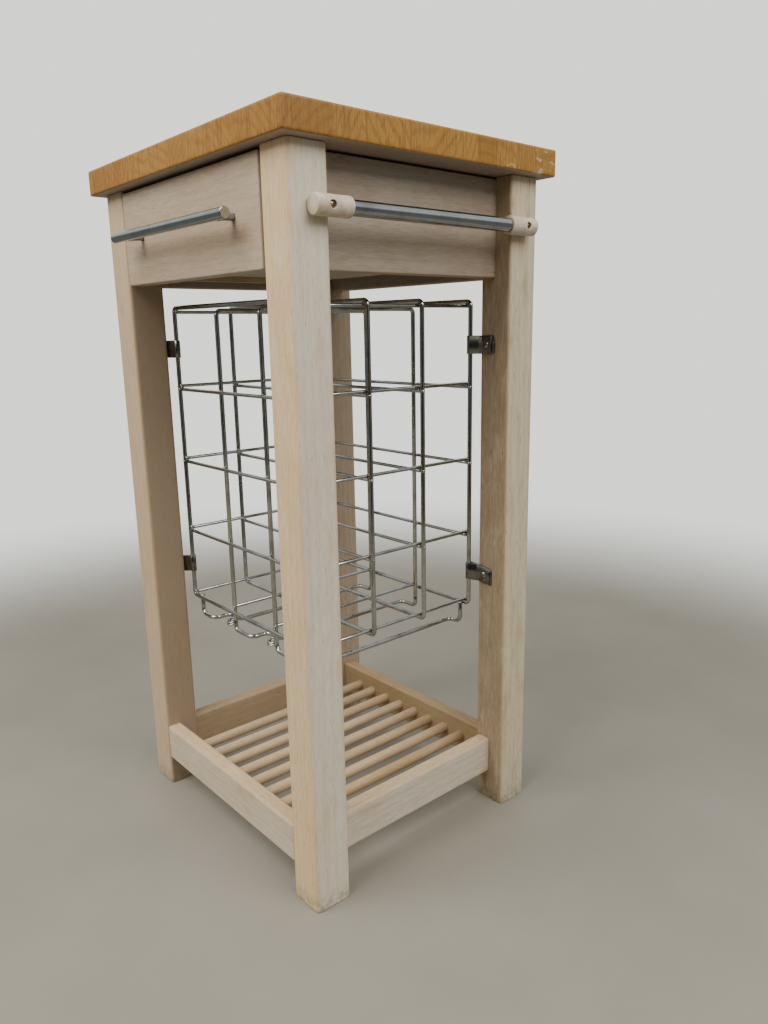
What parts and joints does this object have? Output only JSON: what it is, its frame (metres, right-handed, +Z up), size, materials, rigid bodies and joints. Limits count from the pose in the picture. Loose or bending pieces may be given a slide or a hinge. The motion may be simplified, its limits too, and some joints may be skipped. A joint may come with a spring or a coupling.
{
  "type": "butcher block table",
  "caption": "Small butcher block table with a drawer, a side towel rail, a wire bottle rack and a slatted lower shelf.",
  "frame": {"origin": "on the floor, under the middle of the object's bounding box", "axes": "+Z up, -Y towards the drawer side, +X towards the towel rail side"},
  "size_m": [0.4542, 0.4154, 0.87],
  "materials": {
    "butcher_block": "oiled, satin",
    "limed_leg": "whitewashed, satin",
    "limed_board": "whitewashed, satin",
    "shelf_wood": "whitewashed, satin",
    "holder_wood": "whitewashed, satin",
    "drawer_box_wood": "raw, matt",
    "chrome": "polished",
    "rack_chrome": "bright plated wire",
    "zinc": "zinc plated sheet"
  },
  "bodies": {
    "table": {"block_top": "butcher_block", "leg_front_left": "limed_leg", "leg_front_right": "limed_leg", "leg_back_left": "limed_leg", "leg_back_right": "limed_leg", "shelf_rail_front": "limed_board", "shelf_rail_back": "limed_board", "shelf_rail_right": "limed_board", "shelf_rail_left": "limed_board", "apron_back": "limed_board", "apron_right": "limed_board", "apron_left": "limed_board", "shelf_dowel_1": "shelf_wood", "shelf_dowel_2": "shelf_wood", "shelf_dowel_3": "shelf_wood", "shelf_dowel_4": "shelf_wood", "shelf_dowel_5": "shelf_wood", "shelf_dowel_6": "shelf_wood", "shelf_dowel_7": "shelf_wood", "shelf_dowel_8": "shelf_wood", "drawer_runner_left": "drawer_box_wood", "drawer_runner_right": "drawer_box_wood", "towel_bar": "chrome", "towel_holder_front": "holder_wood", "towel_holder_back": "holder_wood", "rack_frame_1": "rack_chrome", "rack_frame_2": "rack_chrome", "rack_frame_3": "rack_chrome", "rack_frame_4": "rack_chrome", "rack_divider_left": "rack_chrome", "rack_divider_right": "rack_chrome", "rack_lower_wire_1": "rack_chrome", "rack_lower_wire_2": "rack_chrome", "rack_lower_wire_3": "rack_chrome", "rack_side_wire_left_1": "rack_chrome", "rack_side_wire_left_2": "rack_chrome", "rack_side_wire_left_3": "rack_chrome", "rack_side_wire_left_4": "rack_chrome", "rack_side_wire_left_5": "rack_chrome", "rack_side_wire_right_1": "rack_chrome", "rack_side_wire_right_2": "rack_chrome", "rack_side_wire_right_3": "rack_chrome", "rack_side_wire_right_4": "rack_chrome", "rack_side_wire_right_5": "rack_chrome", "rack_clip_front_left_lower": "zinc", "rack_clip_front_left_upper": "zinc", "rack_clip_front_right_lower": "zinc", "rack_clip_front_right_upper": "zinc", "rack_clip_back_left_lower": "zinc", "rack_clip_back_left_upper": "zinc", "rack_clip_back_right_lower": "zinc", "rack_clip_back_right_upper": "zinc"},
    "drawer": {"drawer_front": "limed_board", "drawer_side_left": "drawer_box_wood", "drawer_side_right": "drawer_box_wood", "drawer_back": "drawer_box_wood", "drawer_bottom": "drawer_box_wood", "handle_bar": "chrome", "handle_post_left": "chrome", "handle_post_right": "chrome"}
  },
  "joints": [
    {"name": "drawer_slide", "type": "slide", "parent": "table", "child": "drawer", "axis": [0, -1, 0], "range_m": [0, 0.22]}
  ]
}
